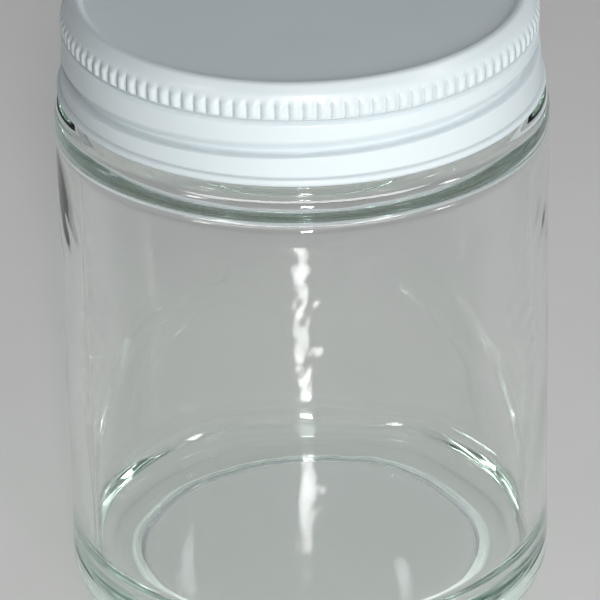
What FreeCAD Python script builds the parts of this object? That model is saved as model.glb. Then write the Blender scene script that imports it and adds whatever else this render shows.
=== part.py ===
"""Straight-sided glass candle jar with a white screw cap, in millimetres.

Three pieces: the pressed and blown glass jar, the tinplate cap with its thread rolled into
the skirt, and the flowed-in sealing ring under the cap's panel. Z is the jar's axis, and
the origin is the centre of the ring that it stands on. Angles along the threads are
measured from the front, -Y, towards +X, so a positive angle climbs a right-hand thread.
"""

import FreeCAD, Part
import math
import os

from FreeCAD import Vector

# ---- Driving dimensions -------------------------------------------------------------

BODY_R = 37.3            # outside of the straight wall
OVERALL_H = 98.2         # table to the crest of the cap's rim
WALL = 2.85              # glass thickness of the straight wall
THREAD_PITCH = 25.4 / 5  # five threads to the inch
TIN = 0.25               # sheet thickness of the cap

# Glass base
HEEL_R = 4.0             # rounding between wall and base
BEARING_IN_R = 27.6      # inner edge of the flat ring that the jar stands on
PUSH_UP_R = 25.6         # edge of the raised centre of the base
PUSH_UP_EDGE_Z = 1.3
PUSH_UP_CENTRE_Z = 1.9
FLOOR_EDGE_Z = 5.5       # inside floor at the wall
FLOOR_CENTRE_Z = 6.1     # inside floor at the axis
FLOOR_CORNER_R = 5.4

# Glass shoulder and finish
SHOULDER_Z = 80.9        # top of the ledge outside the neck
SHOULDER_R = 1.7
LEDGE_RISE = 0.35        # the ledge climbs a little towards the neck
NECK_ROOT_CURVE = 0.3
NECK_R = 33.5            # outside of the neck, under the threads
BORE_R = 30.8            # inside of the neck
INNER_SHOULDER_Z = (76.3, 77.9)  # the inner wall narrows between these heights
INNER_SHOULDER_R = (2.4, 3.2)
RIM_Z = 96.9             # sealing rim of the glass
RIM_OUTER_R = 0.9
RIM_INNER_R = 1.3

# Glass thread
GLASS_CREST_R = 34.95
GLASS_CREST_HALF = 0.5   # half the thread's height at its crest
FLANK_SLOPE = 0.55       # added to that half height per unit of depth, glass and cap alike
GLASS_SPAN = (-150.0, 180.0)  # it ends below the cap's neck groove

# Cap
CAP_BOTTOM_Z = 82.9
PANEL_SINK = 0.5         # the panel lies this far below the rim's crest
PANEL_R = 32.2
RIM_CREST_R = 33.0
BEVEL_TOP_R = 33.75      # the rim's outer side slopes from here to the knurled wall
BEVEL_TOP_CURVE = 1.0
BEVEL_FOOT_Z = 96.3
BEVEL_FOOT_CURVE = 2.5
KNURL_ROOT_R = 35.3
KNURL_CREST_R = 35.7
KNURL_Z = (93.1, 95.4)
KNURL_COUNT = 110
KNURL_GROOVE_SHARE = 0.36  # of each tooth's pitch
NECK_GROOVE_Z = 92.75    # crease between the knurls and the plain skirt
NECK_GROOVE_R = 34.9
SKIRT_TOP_R, SKIRT_TOP_Z = 35.65, 92.3
SKIRT_FOOT_R, SKIRT_FOOT_Z = 36.15, 84.75
CURL_R = 0.7             # rolled lower edge
CURL_CENTRE_R = 36.0
CURL_SWEEP = (94.0, -215.0)  # degrees round the circle, from the skirt to the raw edge

# Cap thread
CAP_THREAD_FRONT_Z = 87.7    # middle of the rolled thread at the front
CAP_CREST_R = 34.5           # innermost radius of the rolled thread
CAP_CREST_HALF = 0.35
CAP_SPAN = (-120.0, 215.0)
THREAD_STEP = 1.42           # the glass thread's middle lies this far above the cap's

# Sealing ring
RING_IN_R = 29.7
RING_OUT_R = 34.3
RING_BOTTOM_Z = RIM_Z + 0.05
BOND_GAP = 0.05              # between ring and tin, as they are separate bodies

FADE_DEG = 22.0              # a thread sinks into its wall over this angle
SECTION_DEG = 10.0           # spacing of the sections that a thread is lofted through
BURIED = 0.6                 # how deep a thread's root lies inside the wall it grows from


# ---- Outlines -----------------------------------------------------------------------

def point(r, z):
    return Vector(r, 0, z)


def right_of(direction):
    return Vector(direction.z, 0, -direction.x)


def rounded_edges(corners, offset=0.0):
    """Lines through (r, z, radius) corners, with a tangent arc of that radius at each.

    An offset moves the whole line sideways, to the right of its direction of travel.
    """
    spots = [point(*corner[:2]) for corner in corners]
    headings = [(b - a).normalize() for a, b in zip(spots, spots[1:])]
    edges, start = [], spots[0] + right_of(headings[0]) * offset
    for corner, (_, _, radius), into, out in zip(
            spots[1:], corners[1:], headings, headings[1:]):
        turn = into.getAngle(out)
        reach = radius * math.tan(turn / 2)
        bisector = (out - into).normalize()
        middle = corner + bisector * (radius / math.cos(turn / 2) - radius)
        first = corner - into * reach + right_of(into) * offset
        last = corner + out * reach + right_of(out) * offset
        middle = middle + right_of((into + out).normalize()) * offset
        edges.append(Part.LineSegment(start, first).toShape())
        edges.append(Part.Arc(first, middle, last).toShape())
        start = last
    end = spots[-1] + right_of(headings[-1]) * offset
    edges.append(Part.LineSegment(start, end).toShape())
    return edges


def revolved(face):
    return face.revolve(Vector(0, 0, 0), Vector(0, 0, 1), 360)


def closed_face(edges):
    """The face inside an outline whose two ends are joined by a straight edge."""
    wire = Part.Wire(edges)
    ends = wire.OrderedVertexes
    last, first = ends[-1].Point, ends[0].Point
    return Part.Face(Part.Wire(edges + [Part.LineSegment(last, first).toShape()]))


# ---- Threads ------------------------------------------------------------------------

def helix_z(front_z, degrees):
    return front_z + THREAD_PITCH * degrees / 360.0


def spun(r, z, degrees):
    """The point at radius r and height z, degrees round from the front."""
    turn = math.radians(degrees - 90.0)
    return Vector(r * math.cos(turn), r * math.sin(turn), z)


def fade(degrees, span):
    """0 at either end of a thread, 1 past its run-in."""
    inside = min(degrees - span[0], span[1] - degrees) / FADE_DEG
    inside = max(0.0, min(1.0, inside))
    return inside * inside * (3 - 2 * inside)


def thread_section(root_r, crest_r, base_half, crest_half, z, degrees):
    """One closed section of a thread: two flanks, a crowned crest and a buried root."""
    crown = 0.12 * (crest_r - root_r)
    foot_low = spun(root_r, z - base_half, degrees)
    foot_high = spun(root_r, z + base_half, degrees)
    crest_low = spun(crest_r - crown, z - crest_half, degrees)
    crest_high = spun(crest_r - crown, z + crest_half, degrees)
    crest_mid = spun(crest_r, z, degrees)
    return Part.Wire([
        Part.LineSegment(foot_low, crest_low).toShape(),
        Part.Arc(crest_low, crest_mid, crest_high).toShape(),
        Part.LineSegment(crest_high, foot_high).toShape(),
        Part.LineSegment(foot_high, foot_low).toShape(),
    ])


def thread(root_r, sunk_r, crest_r, slope, crest_half, front_z, span):
    """A helical ridge lofted through radial sections, sinking into its wall at both ends.

    root_r and sunk_r give, at any height, the radius of the buried root and the radius
    that the crest sinks to. The slope is how much wider the ridge gets per unit of depth.
    """
    count = round((span[1] - span[0]) / SECTION_DEG)
    wires = []
    for i in range(count + 1):
        degrees = span[0] + (span[1] - span[0]) * i / count
        z = helix_z(front_z, degrees)
        root, sunk = root_r(z), sunk_r(z)
        wires.append(thread_section(
            root,
            sunk + (crest_r - sunk) * fade(degrees, span),
            crest_half + slope * abs(root - crest_r),
            crest_half,
            z,
            degrees,
        ))
    return Part.makeLoft(wires, True, False)


# ---- Pieces -------------------------------------------------------------------------

def glass_jar():
    inner_r = BODY_R - WALL
    low, high = INNER_SHOULDER_Z
    low_radius, high_radius = INNER_SHOULDER_R
    outline = rounded_edges([
        (0, PUSH_UP_CENTRE_Z, 0),
        (PUSH_UP_R, PUSH_UP_EDGE_Z, 1.4),
        (BEARING_IN_R, 0, 0.7),
        (BODY_R, 0, HEEL_R),
        (BODY_R, SHOULDER_Z, SHOULDER_R),
        (NECK_R, SHOULDER_Z + LEDGE_RISE, NECK_ROOT_CURVE),
        (NECK_R, RIM_Z, RIM_OUTER_R),
        (BORE_R, RIM_Z, RIM_INNER_R),
        (BORE_R, high, high_radius),
        (inner_r, low, low_radius),
        (inner_r, FLOOR_EDGE_Z, FLOOR_CORNER_R),
        (0, FLOOR_CENTRE_Z, 0),
    ])
    body = revolved(closed_face(outline))
    ridge = thread(
        lambda z: NECK_R - BURIED,
        lambda z: NECK_R - 0.1,
        GLASS_CREST_R,
        FLANK_SLOPE,
        GLASS_CREST_HALF,
        CAP_THREAD_FRONT_Z + THREAD_STEP,
        GLASS_SPAN,
    )
    return body.fuse(ridge)


def skirt_r(z):
    """Outer radius of the plain skirt, which widens a little towards its foot."""
    share = (SKIRT_TOP_Z - z) / (SKIRT_TOP_Z - SKIRT_FOOT_Z)
    return SKIRT_TOP_R + (SKIRT_FOOT_R - SKIRT_TOP_R) * share


CAP_CORNERS = [
    (0, OVERALL_H - PANEL_SINK, 0),
    (PANEL_R, OVERALL_H - PANEL_SINK, 0.4),
    (RIM_CREST_R, OVERALL_H, 0.5),
    (BEVEL_TOP_R, OVERALL_H, BEVEL_TOP_CURVE),
    (KNURL_ROOT_R, BEVEL_FOOT_Z, BEVEL_FOOT_CURVE),
    (KNURL_ROOT_R, NECK_GROOVE_Z + 0.35, 0.3),
    (NECK_GROOVE_R, NECK_GROOVE_Z, 0.2),
    (SKIRT_TOP_R, SKIRT_TOP_Z, 0.5),
    (SKIRT_FOOT_R, CAP_BOTTOM_Z + 2 * CURL_R - 0.2, 0),
]


def cap_sheet():
    """Section of the drawn sheet, from the panel's centre down to where the curl begins."""
    outer = rounded_edges(CAP_CORNERS)
    inner = rounded_edges(CAP_CORNERS, TIN)
    axis = [outer[0].Vertexes[0].Point, inner[0].Vertexes[0].Point]
    foot = [outer[-1].Vertexes[-1].Point, inner[-1].Vertexes[-1].Point]
    ends = [Part.LineSegment(*axis).toShape(), Part.LineSegment(*foot).toShape()]
    return Part.Face(Part.Wire(Part.sortEdges(outer + inner + ends)[0]))


def curl_section():
    """Section of the rolled lower edge: the sheet turned inwards round a small circle."""
    def on_circle(radius, degrees):
        turn = math.radians(degrees)
        return point(CURL_CENTRE_R + radius * math.cos(turn),
                     CAP_BOTTOM_Z + CURL_R + radius * math.sin(turn))

    start, end = CURL_SWEEP
    outside = [on_circle(CURL_R, a) for a in (start, (start + end) / 2, end)]
    inside = [on_circle(CURL_R - TIN, a) for a in (end, (start + end) / 2, start)]
    return Part.Face(Part.Wire([
        Part.Arc(*outside).toShape(),
        Part.LineSegment(outside[2], inside[0]).toShape(),
        Part.Arc(*inside).toShape(),
        Part.LineSegment(inside[2], outside[0]).toShape(),
    ]))


def knurl_ring():
    """A toothed ring that stands proud of the skirt: wide ribs parted by narrow grooves."""
    tooth = 360.0 / KNURL_COUNT
    groove = tooth * KNURL_GROOVE_SHARE
    flank_r = (KNURL_ROOT_R + KNURL_CREST_R) / 2
    low, high = KNURL_Z
    edges = []
    for i in range(KNURL_COUNT):
        left = i * tooth + groove / 2
        right = (i + 1) * tooth - groove / 2
        rib = [spun(flank_r, low, left), spun(KNURL_CREST_R, low, (left + right) / 2),
               spun(flank_r, low, right)]
        dip = [rib[2], spun(KNURL_ROOT_R + 0.03, low, (i + 1) * tooth),
               spun(flank_r, low, (i + 1) * tooth + groove / 2)]
        edges.append(Part.Arc(*rib).toShape())
        edges.append(Part.Arc(*dip).toShape())
    outer = Part.Face(Part.Wire(edges))
    ring = outer.extrude(Vector(0, 0, high - low))
    hole = Part.makeCylinder(KNURL_ROOT_R - TIN / 2, high - low, Vector(0, 0, low))
    return ring.cut(hole)


def screw_cap():
    shell = revolved(cap_sheet()).fuse(revolved(curl_section())).fuse(knurl_ring())
    ridge = thread(
        lambda z: skirt_r(z) - TIN / 2,
        lambda z: skirt_r(z) - TIN + 0.05,
        CAP_CREST_R,
        FLANK_SLOPE,
        CAP_CREST_HALF,
        CAP_THREAD_FRONT_Z,
        CAP_SPAN,
    )
    groove = thread(
        lambda z: skirt_r(z) + 0.6,
        lambda z: skirt_r(z) + 0.1,
        CAP_CREST_R + TIN,
        FLANK_SLOPE,
        CAP_CREST_HALF - TIN / 2,
        CAP_THREAD_FRONT_Z,
        CAP_SPAN,
    )
    return shell.fuse(ridge).cut(groove)


def space_under_panel():
    """Everything inside the cap's top corner, a hair's breadth clear of the tin."""
    roof = rounded_edges(CAP_CORNERS[:5] + [(KNURL_ROOT_R, RIM_Z - 3, 0)], TIN + BOND_GAP)
    edge = roof[-1].Vertexes[-1].Point
    foot = point(0, edge.z)
    top = roof[0].Vertexes[0].Point
    roof.append(Part.LineSegment(edge, foot).toShape())
    roof.append(Part.LineSegment(foot, top).toShape())
    return revolved(Part.Face(Part.Wire(roof)))


def sealing_ring():
    """Flowed-in compound that fills the corner under the rim and lies on the glass."""
    outline = rounded_edges([
        (RING_IN_R - 0.1, OVERALL_H, 0),
        (RING_IN_R + 0.3, RING_BOTTOM_Z, 0.25),
        (RING_OUT_R, RING_BOTTOM_Z, 0.3),
        (RING_OUT_R, OVERALL_H, 0),
    ])
    return revolved(closed_face(outline)).common(space_under_panel())


# ---- Export -------------------------------------------------------------------------

def single_solid(shape):
    solids = shape.Solids
    if len(solids) != 1 or not solids[0].isValid():
        raise RuntimeError(f"{len(solids)} solids, or one that is not valid")
    return solids[0]


os.makedirs("parts", exist_ok=True)
for node, build in {
    "glass_jar": glass_jar,
    "screw_cap": screw_cap,
    "sealing_ring": sealing_ring,
}.items():
    piece = single_solid(build())
    piece.exportStep(f"parts/{node}.step")
    box = piece.BoundBox
    print(f"{node}: {piece.Volume / 1000:.2f} cm3, {len(piece.Faces)} faces, "
          f"{box.XLength:.2f} x {box.YLength:.2f} x {box.ZLength:.2f} mm")
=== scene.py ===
import math

import bpy
import numpy as np
from mathutils import Matrix, Vector


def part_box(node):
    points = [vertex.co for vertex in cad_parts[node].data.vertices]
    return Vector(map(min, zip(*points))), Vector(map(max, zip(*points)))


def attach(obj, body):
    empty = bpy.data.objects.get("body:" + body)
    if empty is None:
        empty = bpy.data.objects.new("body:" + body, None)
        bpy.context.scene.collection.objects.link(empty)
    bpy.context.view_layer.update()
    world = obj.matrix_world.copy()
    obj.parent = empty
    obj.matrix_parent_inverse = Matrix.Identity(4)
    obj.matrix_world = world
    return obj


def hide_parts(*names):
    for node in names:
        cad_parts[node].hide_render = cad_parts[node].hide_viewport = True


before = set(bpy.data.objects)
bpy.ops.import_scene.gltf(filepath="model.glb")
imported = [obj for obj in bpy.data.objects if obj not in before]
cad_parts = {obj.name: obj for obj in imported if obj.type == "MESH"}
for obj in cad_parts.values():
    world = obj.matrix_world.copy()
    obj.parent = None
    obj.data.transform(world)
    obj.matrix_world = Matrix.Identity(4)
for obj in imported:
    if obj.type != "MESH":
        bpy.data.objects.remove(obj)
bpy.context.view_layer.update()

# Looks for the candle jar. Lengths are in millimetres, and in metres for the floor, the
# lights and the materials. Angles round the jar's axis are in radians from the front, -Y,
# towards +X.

MM = 0.001

# ---- Sizes --------------------------------------------------------------------------

# From the CAD boxes
JAR_BOX, CAP_BOX, RING_BOX = (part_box(n) for n in ("glass_jar", "screw_cap", "sealing_ring"))
BODY_R = JAR_BOX[1].y / MM
RIM_Z = JAR_BOX[1].z / MM
CAP_BOTTOM = CAP_BOX[0].z / MM
CAP_TOP = CAP_BOX[1].z / MM
CURL_OUT_R = CAP_BOX[1].x / MM
RING_BOTTOM = RING_BOX[0].z / MM
RING_OUT_R = RING_BOX[1].x / MM

THREAD_PITCH = 25.4 / 5     # five turns to the inch

# Glass
WALL = 2.85
NECK_R = BODY_R - 3.8
BORE_R = NECK_R - 2.7
RIM_MID_R = BORE_R + 1.3
SHOULDER_Z = CAP_BOTTOM - 2.0
SHOULDER_CURVE = 1.7
HEEL_CURVE = 4.0
FOOT_R = 27.6               # inner edge of the ring on which the jar stands
PUSH_UP_Z = 1.9             # underside at the axis
FLOOR_EDGE_Z = 5.5
FLOOR_CENTRE_Z = 6.1
FLOOR_CURVE = 5.4
GLASS_THREAD_HIGH = 1.45
GLASS_THREAD_HALF = 1.45
GLASS_THREAD_SPAN = (-150.0, 180.0)
OUTER_WAVE = 0.02           # relief of the skins, for waves of unit height
OUTER_WAVE_PEAK = 4         # unit waves stay below this, so the skin is sunk by as much
INNER_WAVE = 0.07
BACK_RIPPLE = 0.036
BACK_HALF, BACK_FADE = 0.65, 0.5    # half the rippled band's angle, and the fade inside it
FRONT_SHARE = 0.04          # of the back's ripples, on the rest of the wall
DEEPER_SHARE = 0.8          # more of the back's ripples, above DEEPER_Z
DEEPER_Z = 34
SEAM_TURNS = (math.radians(-62), math.radians(118))
SEAM_HIGH = 0.012
SEAM_HALF = 0.3
DULL_MID_R, DULL_HALF, DULL_TOP_Z = FOOT_R - 0.2, 1.0, 1.0      # at the foot's inner edge

# Cap
TIN = 0.25
PANEL_DEEP = 0.5
BEVEL_FOOT_Z = CAP_TOP - 1.9
KNURL_R = BODY_R - 2.0
KNURL_COUNT = 110
KNURL_HIGH = 0.45
KNURL_LOW_Z = CAP_BOTTOM + 10.2
KNURL_TOP_Z = CAP_BOTTOM + 12.5
SKIRT_TOP_R, SKIRT_TOP_Z = BODY_R - 1.65, CAP_BOTTOM + 9.4
SKIRT_FOOT_R = BODY_R - 1.15
CURL_R = 0.7
CURL_CENTRE = (CURL_OUT_R - CURL_R, CAP_BOTTOM + CURL_R)
CURL_TOP = CAP_BOTTOM + 2 * CURL_R
CURL_START, CURL_END = 76, -215     # degrees; the edge of the tin is inside the curl
CAP_THREAD_Z = CAP_BOTTOM + 4.9
CAP_THREAD_DEEP = 1.15
CAP_THREAD_SPAN = (-120.0, 215.0)
THREAD_STEP = 1.42          # the glass thread lies this far above the cap's

# Sealing ring
RING_IN_R = BODY_R - 7.4
RING_TOP_Z = CAP_TOP - PANEL_DEEP - TIN - 0.05
RING_CROWN = 0.42
RING_WAVE = 0.05


# ---- Outlines -----------------------------------------------------------------------

def rounded(corners, step=1.5, arc_step=math.radians(11)):
    """Points along straight runs between (r, z, radius) corners, with a tangent arc at each.

    A corner may carry a fourth number, the spacing of the points on the run after it.
    """
    spots = [np.array(c[:2], float) for c in corners]
    points, start = [spots[0]], spots[0]
    spacing = corners[0][3] if len(corners[0]) > 3 else step
    for before, corner, after, c in zip(spots, spots[1:], spots[2:], corners[1:]):
        into = (corner - before) / np.linalg.norm(corner - before)
        out = (after - corner) / np.linalg.norm(after - corner)
        turn = math.acos(np.clip(into @ out, -1, 1))
        reach = c[2] * math.tan(turn / 2)
        first, last = corner - into * reach, corner + out * reach
        points += run(start, first, spacing)
        if c[2] > 0:
            side = np.sign(into[0] * out[1] - into[1] * out[0])
            centre = first + side * c[2] * np.array([-into[1], into[0]])
            arm = first - centre
            count = max(2, math.ceil(turn / arc_step))
            for k in range(1, count + 1):
                a = side * turn * k / count
                spin = np.array([[math.cos(a), -math.sin(a)], [math.sin(a), math.cos(a)]])
                points.append(centre + spin @ arm)
        start = last
        spacing = c[3] if len(c) > 3 else step
    return np.array(points + run(start, spots[-1], spacing))


def run(start, end, spacing):
    """Points from start to end, without start itself."""
    length = np.linalg.norm(end - start)
    if length < 1e-6:
        return []
    count = max(1, math.ceil(length / spacing))
    return [start + (end - start) * k / count for k in range(1, count + 1)]


def offset(points, distance):
    """The line moved sideways, to the right of its direction of travel."""
    heading = np.gradient(points, axis=0)
    heading /= np.linalg.norm(heading, axis=1)[:, None]
    return points + distance * np.stack([heading[:, 1], -heading[:, 0]], axis=1)


def arc(centre, radius, start, end, count):
    """Points on a circle from start to end, in degrees."""
    turns = np.radians(np.linspace(start, end, count))
    return np.stack([centre[0] + radius * np.cos(turns), centre[1] + radius * np.sin(turns)], 1)


# ---- Relief -------------------------------------------------------------------------

def smooth(t):
    t = np.clip(t, 0.0, 1.0)
    return t * t * (3 - 2 * t)


def window(x, low, high, soft):
    """1 between low and high, and 0 a distance soft outside them."""
    return smooth((x - low) / soft + 1) * smooth((high - x) / soft + 1)


def helix(theta, z, front_z, span, crest_half, below, above, fade=22.0):
    """Height from 0 to 1 of a right-hand thread whose middle is at front_z at the front.

    Its flanks end at distances below and above that middle.
    """
    height = np.zeros(np.broadcast(theta, z).shape)
    round_deg = np.degrees(theta)
    for turn in range(-2, 3):
        along = round_deg + 360 * turn
        inside = np.minimum(along - span[0], span[1] - along) / fade
        off = z - front_z - THREAD_PITCH * along / 360
        reach = np.where(off < 0, below, above)
        ridge = smooth((reach - np.abs(off)) / (reach - crest_half))
        height = np.maximum(height, ridge * smooth(inside))
    return height


def ripples(seed, theta, z, rounds, lengths, count):
    """A smooth random relief of about unit height: waves round the axis and up it."""
    rng = np.random.default_rng(seed)
    total = np.zeros(np.broadcast(theta, z).shape)
    for _ in range(count):
        m = rng.integers(rounds[0], rounds[1] + 1)
        k = 2 * math.pi / rng.uniform(*lengths) * rng.choice([-1, 1])
        total += np.cos(m * theta + k * z + rng.uniform(0, 2 * math.pi))
    return total / math.sqrt(count / 2)


# ---- Meshes -------------------------------------------------------------------------

def lathe(name, rows, angles, relief, body, node, looped=False, painted_shade=None):
    """A closed mesh: rows of (r, z) turned about Z.

    relief(theta, r, z) gives how far each point moves outwards, and recess(theta, r, z) how
    much painted shade it gets, a darkening kept on the points for the material. Rows run so
    that the solid is on their left. Unless looped, the first and last are at r = 0.
    """
    theta = angles[None, :]
    r, z = rows[:, :1], rows[:, 1:]
    moved, heights = np.broadcast_arrays(r + relief(theta, r, z), z)
    grid = np.stack([moved * np.sin(theta), -moved * np.cos(theta), heights], axis=-1) * MM
    around = len(angles)
    first, last = (0, len(rows)) if looped else (1, len(rows) - 1)
    verts = grid[first:last].reshape(-1, 3)
    n = last - first
    i = np.arange(n if looped else n - 1)[:, None]
    j = np.arange(around)[None, :]
    low, high = (i % n) * around, ((i + 1) % n) * around
    quads = np.stack(np.broadcast_arrays(
        low + j, low + (j + 1) % around, high + (j + 1) % around, high + j), axis=-1)
    faces = quads.reshape(-1, 4).tolist()
    if not looped:
        poles = np.array([[0, 0, rows[0, 1]], [0, 0, rows[-1, 1]]]) * MM
        verts = np.vstack([verts, poles])
        start, end, top = n * around, n * around + 1, (n - 1) * around
        faces += [(start, (k + 1) % around, k) for k in range(around)]
        faces += [(end, top + k, top + (k + 1) % around) for k in range(around)]
    mesh = bpy.data.meshes.new(name)
    mesh.from_pydata(verts.tolist(), [], faces)
    mesh.shade_smooth()
    mesh.validate()
    # Painted shade: a darkening for each point, which the material mixes into the paint.
    if painted_shade:
        shade_values = np.broadcast_to(painted_shade(theta, r, z), moved.shape)[first:last].ravel()
        shade_values = np.append(shade_values, [0.0] * (len(mesh.vertices) - len(shade_values)))
        layer = mesh.attributes.new("painted_shade", "FLOAT", "POINT")
        layer.data.foreach_set("value", shade_values.astype(np.float32))
    piece = bpy.data.objects.new(name, mesh)
    bpy.context.scene.collection.objects.link(piece)
    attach(piece, body)
    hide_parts(node)
    return piece


def all_round(count):
    return np.linspace(-math.pi, math.pi, count, endpoint=False)


# ---- Glass jar ----------------------------------------------------------------------

# Corners are (r, z, radius of the rounding, spacing of the rows after it).
GLASS_CORNERS_OUT = [
    (0, PUSH_UP_Z, 0),
    (FOOT_R - 2.0, 1.3, 2.2, 0.4),
    (FOOT_R, 0, 0.9, 0.4),
    (BODY_R, 0, HEEL_CURVE, 3.2),
    (BODY_R, SHOULDER_Z, SHOULDER_CURVE, 0.4),
    (NECK_R, SHOULDER_Z + 0.35, 0.3, 0.3),
    (NECK_R, RIM_Z, 0.9, 0.4),
    (RIM_MID_R, RIM_Z, 0),
]
GLASS_CORNERS_IN = [
    (RIM_MID_R, RIM_Z, 0),
    (BORE_R, RIM_Z, 1.299, 1.2),
    (BORE_R, SHOULDER_Z - 3.0, 3.2, 0.5),
    (BODY_R - WALL, SHOULDER_Z - 4.6, 2.4, 0.75),
    (BODY_R - WALL, FLOOR_EDGE_Z, FLOOR_CURVE),
    (0, FLOOR_CENTRE_Z, 0),
]


def glass_relief_out(theta, r, z):
    """The thread, the slow waves of the outer skin and the two faint parting lines."""
    threads = helix(theta, z, CAP_THREAD_Z + THREAD_STEP, GLASS_THREAD_SPAN, crest_half=0.35,
                    below=GLASS_THREAD_HALF, above=GLASS_THREAD_HALF)
    on_neck = (z > SHOULDER_Z + 1.2) & (r > NECK_R - 0.05)
    on_wall = window(z, 6, SHOULDER_Z - 4, 4)
    waves = ripples(3, theta, z, rounds=(2, 9), lengths=(14, 60), count=14) - OUTER_WAVE_PEAK
    seam = np.minimum(*(np.abs(wrapped(theta - turn)) for turn in SEAM_TURNS)) * BODY_R
    parting = window(z, 3, SHOULDER_Z - 1, 2) * np.exp(-(seam / SEAM_HALF) ** 2)
    skin = OUTER_WAVE * on_wall * waves + SEAM_HIGH * parting
    return GLASS_THREAD_HIGH * threads * on_neck + skin


def glass_relief_in(theta, r, z):
    """Slow waves all round, and fine ripples in a band up the back, deeper near its top."""
    on_wall = window(z, 16, SHOULDER_Z - 9, 9)
    lumps = INNER_WAVE * ripples(11, theta, z, rounds=(2, 6), lengths=(30, 80), count=10)
    from_back = np.abs(wrapped(theta - math.pi))
    band = FRONT_SHARE + (1 - FRONT_SHARE) * smooth((BACK_HALF - from_back) / BACK_FADE)
    band = band * (1 + DEEPER_SHARE * smooth((z - DEEPER_Z) / 6))
    fine = ripples(12, theta, z, rounds=(12, 40), lengths=(3.5, 9), count=40)
    return on_wall * (lumps + BACK_RIPPLE * band * fine)


def wrapped(turn):
    return (turn + math.pi) % (2 * math.pi) - math.pi


def make_jar():
    out, inside = rounded(GLASS_CORNERS_OUT), rounded(GLASS_CORNERS_IN)
    rows = np.vstack([out, inside[1:]])
    cut = len(out)

    def relief(theta, r, z):
        return np.vstack([glass_relief_out(theta, r[:cut], z[:cut]),
                          glass_relief_in(theta, r[cut:], z[cut:])])

    # The parting lines are narrow, so each has columns of points of its own.
    angles = [all_round(300)]
    for turn in SEAM_TURNS:
        angles.append(wrapped(turn + np.linspace(-0.025, 0.025, 9)))
    angles = np.unique(np.round(np.concatenate(angles), 4))
    return lathe("jar_glass", rows, angles, relief, "jar", "glass_jar")


# ---- Cap ----------------------------------------------------------------------------

def skirt_outline(grain):
    """The painted surface from the panel's centre to the curl, in rows grain times as coarse."""
    return rounded([
        (0, CAP_TOP - PANEL_DEEP, 0, 4.0),
        (BODY_R - 5.1, CAP_TOP - PANEL_DEEP, 0.4, 0.4 * grain),
        (BODY_R - 4.3, CAP_TOP, 0.5, 0.4 * grain),
        (BODY_R - 3.55, CAP_TOP, 1.0, 0.5 * grain),
        (KNURL_R, BEVEL_FOOT_Z, 2.5, 0.2 * grain),
        (KNURL_R, KNURL_LOW_Z, 0.15, 0.1 * grain),
        (KNURL_R - 0.4, KNURL_LOW_Z - 0.35, 0.2, 0.12 * grain),
        (SKIRT_TOP_R, SKIRT_TOP_Z, 0.35, 0.155 * grain),
        (SKIRT_FOOT_R, CURL_TOP + 0.05, 0.1, 0.1 * grain),
        (CURL_CENTRE[0] + 0.1, CURL_TOP, 0),
    ], arc_step=math.radians(12 * grain))


def knurl_phase(theta):
    """0 to 1 across each knurl, with its rib from 0.2 to 0.8."""
    return KNURL_COUNT * theta / (2 * math.pi) % 1.0


def cap_relief(theta, r, z):
    """Knurls and the rolled thread. The thread is the same dent on both sides of the tin."""
    rib = window(knurl_phase(theta), 0.2, 0.8, 0.13)
    band = smooth((z - KNURL_LOW_Z) / 0.55) * smooth((KNURL_TOP_Z + 0.7 - z) / 1.2)
    knurl = KNURL_HIGH * rib * band * (r > KNURL_R - 0.6)
    dent = helix(theta, z, CAP_THREAD_Z, CAP_THREAD_SPAN, crest_half=0.1, below=0.45, above=2.3)
    return knurl - CAP_THREAD_DEEP * dent * (z > CAP_BOTTOM + 1.5)


def cap_painted_shade(theta, r, z):
    """Painted shade, 0 to 1, in the thread, under and between the knurls and at the curl."""
    groove = helix(theta, z, CAP_THREAD_Z - 0.15, CAP_THREAD_SPAN, crest_half=0.05,
                   below=0.35, above=0.5)
    neck = window(z, KNURL_LOW_Z - 0.4, KNURL_LOW_Z - 0.15, 0.2)
    gap = window(z, KNURL_LOW_Z, KNURL_TOP_Z, 0.5)
    gap = gap * window(knurl_phase(theta), -0.1, 0.1, 0.05)
    foot = window(z, CURL_TOP - 0.15, CURL_TOP + 0.05, 0.15)
    places = np.broadcast_arrays(0.5 * groove, 0.6 * neck, 0.55 * gap, 0.3 * foot)
    return np.maximum.reduce(places)


def make_cap():
    skirt = skirt_outline(1)
    skirt_in = offset(skirt_outline(2), TIN)
    skirt_in[0] = (0, CAP_TOP - PANEL_DEEP - TIN)
    curl = arc(CURL_CENTRE, CURL_R, CURL_START, CURL_END, count=18)
    curl_in = arc(CURL_CENTRE, CURL_R - TIN, CURL_END, CURL_START - 6, count=11)
    rows = np.vstack([skirt, curl, curl_in, skirt_in[::-1]])[::-1]
    # Four columns of points to a knurl: two in the gap before it, and the rib's two edges.
    spots = np.arange(KNURL_COUNT)[:, None] + np.array([-0.07, 0.07, 0.2, 0.8])
    angles = wrapped(spots.ravel() * 2 * math.pi / KNURL_COUNT)
    return lathe("cap_shell", rows, np.sort(angles), cap_relief, "lid_cap",
                 "screw_cap", painted_shade=cap_painted_shade)


# ---- Sealing ring -------------------------------------------------------------------

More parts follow.
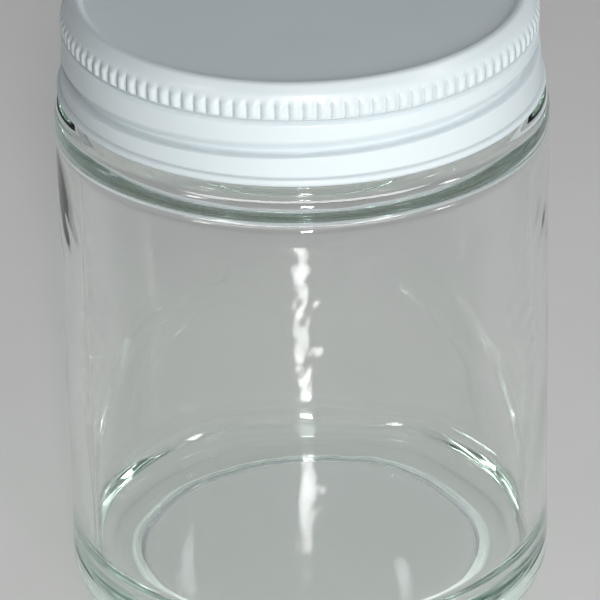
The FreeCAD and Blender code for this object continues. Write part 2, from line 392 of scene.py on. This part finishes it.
def make_ring():
    crown = (RING_OUT_R - 1.2, RING_TOP_Z + RING_CROWN, 0)
    rows = rounded([
        crown,
        (BODY_R - 5.0, RING_TOP_Z + 0.05, 0.3),
        (RING_IN_R - 0.1, RING_TOP_Z, 0.2),
        (RING_IN_R, RING_BOTTOM, 0.3),
        (RING_OUT_R, RING_BOTTOM, 0.15),
        (RING_OUT_R - 0.04, RING_BOTTOM + 0.15, 0.05),
        (RING_OUT_R - 0.7, RING_TOP_Z + 0.3, 0.2),
        crown,
    ], step=0.3)[:-1]

    def relief(theta, r, z):
        edge = np.clip((r - RING_IN_R - 0.1) / 1.5, 0, 1)
        waves = ripples(21, theta, z, rounds=(3, 24), lengths=(20, 40), count=14)
        return RING_WAVE * (1 - edge) * waves

    return lathe("cap_seal", rows, all_round(360), relief, "lid_seal",
                 "sealing_ring", looped=True)


# ---- Materials ----------------------------------------------------------------------

class Nodes:
    """A material with a Principled shader, and short calls to add nodes to it."""

    def __init__(self, name, **values):
        self.material = bpy.data.materials.new(name)
        self.material.use_nodes = True
        self.tree = self.material.node_tree
        self.shader = self.tree.nodes["Principled BSDF"]
        self.output = self.tree.nodes["Material Output"]
        for socket, value in values.items():
            self.shader.inputs[socket.replace("_", " ")].default_value = value
        self.place = self.add("ShaderNodeTexCoord").outputs["Object"]

    def add(self, kind, links=(), **settings):
        node = self.tree.nodes.new(kind)
        for key, value in settings.items():
            if hasattr(node, key):
                setattr(node, key, value)
            else:
                node.inputs[key.replace("_", " ")].default_value = value
        for socket, source in dict(links).items():
            self.tree.links.new(source, node.inputs[socket])
        return node

    def noise(self, scale, detail=3.0, roughness=0.55):
        return self.add("ShaderNodeTexNoise", {"Vector": self.place}, Scale=scale,
                        Detail=detail, Roughness=roughness).outputs["Fac"]

    def ramp(self, source, low, high, to_low, to_high):
        return self.add("ShaderNodeMapRange", {"Value": source}, From_Min=low, From_Max=high,
                        To_Min=to_low, To_Max=to_high).outputs["Result"]

    def blotches(self, noise, a, b):
        """Two colours in soft patches that follow a noise."""
        return self.mix(self.ramp(noise, 0.3, 0.7, 0, 1), a, b)

    def mix(self, factor, a, b):
        node = self.add("ShaderNodeMix", {"Factor": factor}, data_type="RGBA")
        for socket, value in (("A", a), ("B", b)):
            slot = next(s for s in node.inputs if s.name == socket and s.type == "RGBA")
            if isinstance(value, tuple):
                slot.default_value = (*value, 1)
            else:
                self.tree.links.new(value, slot)
        return next(s for s in node.outputs if s.type == "RGBA")

    def bump(self, source, distance, strength):
        return self.add("ShaderNodeBump", {"Height": source}, Distance=distance,
                        Strength=strength).outputs["Normal"]

    def feed(self, socket, source):
        self.tree.links.new(source, self.shader.inputs[socket])

    def let_lamps_through(self):
        """Light that reaches a surface through the glass goes straight on, a little dimmed."""
        facing = self.add("ShaderNodeLayerWeight", Blend=0.35).outputs["Facing"]
        clear = self.add("ShaderNodeBsdfTransparent", {"Color": self.mix(
            facing, (0.97, 0.975, 0.97), (0.82, 0.84, 0.83))})
        path = self.add("ShaderNodeLightPath")
        surface = self.shader.outputs["BSDF"]
        for ray in ("Is Diffuse Ray", "Is Shadow Ray"):
            surface = self.add("ShaderNodeMixShader", {
                0: path.outputs[ray], 1: surface, 2: clear.outputs["BSDF"]}).outputs["Shader"]
        self.tree.links.new(surface, self.output.inputs["Surface"])


def glass_material():
    m = Nodes("clear_glass", Base_Color=(1, 1, 1, 1), Roughness=0.0, IOR=1.52,
              Transmission_Weight=1.0)
    tint = m.add("ShaderNodeVolumeAbsorption", Color=(0.25, 0.62, 0.42, 1), Density=8.0)
    m.tree.links.new(tint.outputs["Volume"], m.output.inputs["Volume"])
    m.let_lamps_through()
    return m.material


def scuffed_material():
    """Glass rubbed dull, for the inner edge of the ring on which the jar stands."""
    m = Nodes("scuffed_glass", Base_Color=(0.93, 0.96, 0.94, 1), Roughness=0.45, IOR=1.52,
              Transmission_Weight=0.55)
    m.feed("Normal", m.bump(m.noise(1800, 3), 0.00003, 0.4))
    m.let_lamps_through()
    return m.material


def enamel_material():
    m = Nodes("white_enamel", IOR=1.5, Coat_Weight=0.12, Coat_Roughness=0.2)
    broad, fine = m.noise(35, 2), m.noise(240, 3, 0.5)
    paint = m.blotches(broad, (0.75, 0.825, 0.85), (0.78, 0.85, 0.875))
    # Painted shade: dark grey mixed into the paint where shade falls, in the thread, under and
    # between the knurls and at the foot of the curl.
    shade_amount = m.add("ShaderNodeAttribute", attribute_name="painted_shade").outputs["Fac"]
    m.feed("Base Color", m.mix(m.ramp(shade_amount, 0, 1, 0, 0.75), paint, (0.30, 0.32, 0.33)))
    m.feed("Roughness", m.ramp(fine, 0.3, 0.7, 0.34, 0.42))
    return m.material


def compound_material():
    m = Nodes("sealing_compound", IOR=1.45)
    grain = m.noise(260, 3)
    m.feed("Base Color", m.blotches(grain, (0.74, 0.72, 0.67), (0.80, 0.79, 0.75)))
    m.feed("Roughness", m.ramp(grain, 0.3, 0.7, 0.42, 0.6))
    m.feed("Normal", m.bump(m.noise(700, 3), 0.00005, 0.5))
    return m.material


def floor_material():
    m = Nodes("floor", Roughness=0.75)
    m.feed("Base Color", m.blotches(m.noise(9, 4), (0.78, 0.775, 0.76), (0.84, 0.835, 0.82)))
    return m.material


jar, cap, ring = make_jar(), make_cap(), make_ring()
for piece, materials in (
    (jar, (glass_material(), scuffed_material())),
    (cap, (enamel_material(),)),
    (ring, (compound_material(),)),
):
    for material in materials:
        piece.data.materials.append(material)
for face in jar.data.polygons:
    x, y, z = face.center / MM
    if z < DULL_TOP_Z and abs(math.hypot(x, y) - DULL_MID_R) < DULL_HALF:
        face.material_index = 1


# ---- Floor, lights and camera -------------------------------------------------------

FLOOR_HALF = 0.6
FLOOR_GAP = 0.0002          # the glass and the floor share no face
LAMP_DISTANCE = 1.0
LAMP_TARGET = (0, 0, 0.055)


def add_floor():
    mesh = bpy.data.meshes.new("floor")
    half = FLOOR_HALF
    corners = [(-half, -half, 0), (half, -half, 0), (half, half, 0), (-half, half, 0)]
    mesh.from_pydata(corners, [], [(0, 1, 2, 3)])
    mesh.materials.append(floor_material())
    floor = bpy.data.objects.new("floor", mesh)
    floor.location.z = -FLOOR_GAP
    bpy.context.scene.collection.objects.link(floor)
    return floor


def add_area(name, azimuth, elevation, size, watts):
    """An area light that faces the jar from azimuth and elevation, in degrees."""
    a, e = math.radians(azimuth), math.radians(elevation)
    back = Vector((math.sin(a) * math.cos(e), -math.cos(a) * math.cos(e), math.sin(e)))
    data = bpy.data.lights.new(name, "AREA")
    data.shape = "RECTANGLE"
    data.size, data.size_y = size
    data.energy = watts
    light = bpy.data.objects.new(name, data)
    light.location = Vector(LAMP_TARGET) + back * LAMP_DISTANCE
    light.rotation_mode = "QUATERNION"
    light.rotation_quaternion = back.to_track_quat("Z", "Y")
    bpy.context.scene.collection.objects.link(light)
    return light


def light_only(light, lit):
    """Let a light reach one object alone."""
    light.light_linking.receiver_collection = bpy.data.collections.new(light.name + "_lit")
    light.light_linking.receiver_collection.objects.link(lit)


def add_wash(floor, strength):
    """Even light for the floor alone."""
    data = bpy.data.lights.new("wash", "SUN")
    data.energy = strength
    data.use_shadow = False
    light = bpy.data.objects.new("wash", data)
    bpy.context.scene.collection.objects.link(light)
    light_only(light, floor)


def add_world():
    """Soft surroundings, brightest low down, behind the jar and to its right."""
    world = bpy.data.worlds.new("studio")
    world.use_nodes = True
    nodes, link = world.node_tree.nodes, world.node_tree.links.new
    split = nodes.new("ShaderNodeSeparateXYZ")
    link(nodes.new("ShaderNodeTexCoord").outputs["Generated"], split.inputs["Vector"])

    def fade(axis, low, high, to_low, to_high):
        node = nodes.new("ShaderNodeMapRange")
        node.interpolation_type = "SMOOTHSTEP"
        link(split.outputs[axis], node.inputs["Value"])
        for k, value in enumerate((low, high, to_low, to_high), 1):
            if isinstance(value, float):
                node.inputs[k].default_value = value
            else:
                link(value, node.inputs[k])
        return node.outputs["Result"]

    def product(a, b):
        node = nodes.new("ShaderNodeMath")
        node.operation = "MULTIPLY"
        link(a, node.inputs[0])
        link(b, node.inputs[1])
        return node.outputs["Value"]

    diffuse = nodes.new("ShaderNodeLightPath").outputs["Is Diffuse Ray"]

    def by_ray(seen, lighting):
        """One value for what is seen, another for what lights a dull surface."""
        node = nodes.new("ShaderNodeMapRange")
        link(diffuse, node.inputs["Value"])
        node.inputs["To Min"].default_value = seen
        node.inputs["To Max"].default_value = lighting
        return node.outputs["Result"]

    height = fade("Z", 0.25, 0.65, 0.6, by_ray(0.33, 0.155))
    across = fade("X", -0.9, 0.4, by_ray(0.5, 0.2), 1.0)
    strength = product(product(height, fade("Y", -0.6, 0.7, 0.35, 1.0)), across)
    background = nodes["Background"]
    background.inputs["Color"].default_value = (0.92, 0.96, 1.0, 1)
    link(strength, background.inputs["Strength"])
    bpy.context.scene.world = world


def add_camera(elevation, roll, distance, focal, target):
    """A camera in front of the jar that looks down at target, in degrees and millimetres."""
    e, tilt = math.radians(elevation), math.radians(roll)
    back = Vector((0, -math.cos(e), math.sin(e)))
    level = Vector((1, 0, 0))
    steep = back.cross(level)
    right = math.cos(tilt) * level + math.sin(tilt) * steep
    up = math.cos(tilt) * steep - math.sin(tilt) * level
    data = bpy.data.cameras.new("camera")
    data.sensor_width = 36
    data.lens = focal
    data.clip_start, data.clip_end = 0.05, 20
    camera = bpy.data.objects.new("camera", data)
    place = Vector(target) * MM + back * distance * MM
    turn = Matrix((right, up, back)).transposed().to_4x4()
    camera.matrix_world = Matrix.Translation(place) @ turn
    bpy.context.scene.collection.objects.link(camera)
    bpy.context.scene.camera = camera


add_wash(add_floor(), strength=0.5)
add_world()
add_area("key", azimuth=1.5, elevation=27, size=(0.09, 0.28), watts=4.0)
# Fills light surfaces but aren't seen in them. The rear ones light the cap alone.
for name, azimuth, elevation, size, watts, lit in (
    ("front", 22, 14, 0.2, 2.6, None),
    ("side", 65, 18, 0.4, 0.3, None),
    ("rear_left", -150, 3, 0.5, 1.6, cap),
    ("rear_right", 155, 3, 0.5, 1.6, cap),
):
    soft = add_area(name, azimuth, elevation, (size, size), watts)
    soft.visible_glossy = False
    soft.visible_transmission = False
    if lit:
        light_only(soft, lit)
# Glints are seen in glossy surfaces but don't light dull ones.
for name, azimuth, elevation in (("glint_left", -55, 38), ("glint_right", 75, 36)):
    add_area(name, azimuth, elevation, size=(0.12, 0.2), watts=1.1).visible_diffuse = False
# The overhead light makes the bright lines on the shoulder and reaches the glass alone.
light_only(add_area("overhead", azimuth=0, elevation=80, size=(1.2, 0.5), watts=14.0), jar)
# The camera's angle, distance and lens are a perspective fit to the cap and the wall.
add_camera(elevation=27.6, roll=-1.2, distance=744.2, focal=290.6, target=(-0.86, 0, 45.73))
# Glass edges need many bounces to be clear, and the streak in the glass isn't clamped.
cycles = bpy.context.scene.cycles
cycles.sample_clamp_indirect = 0
cycles.max_bounces = 32
cycles.transmission_bounces = 32
cycles.glossy_bounces = 16
cycles.caustics_reflective = False
cycles.caustics_refractive = False
view = bpy.context.scene.view_settings
view.view_transform = "Standard"
view.look = "Medium High Contrast"
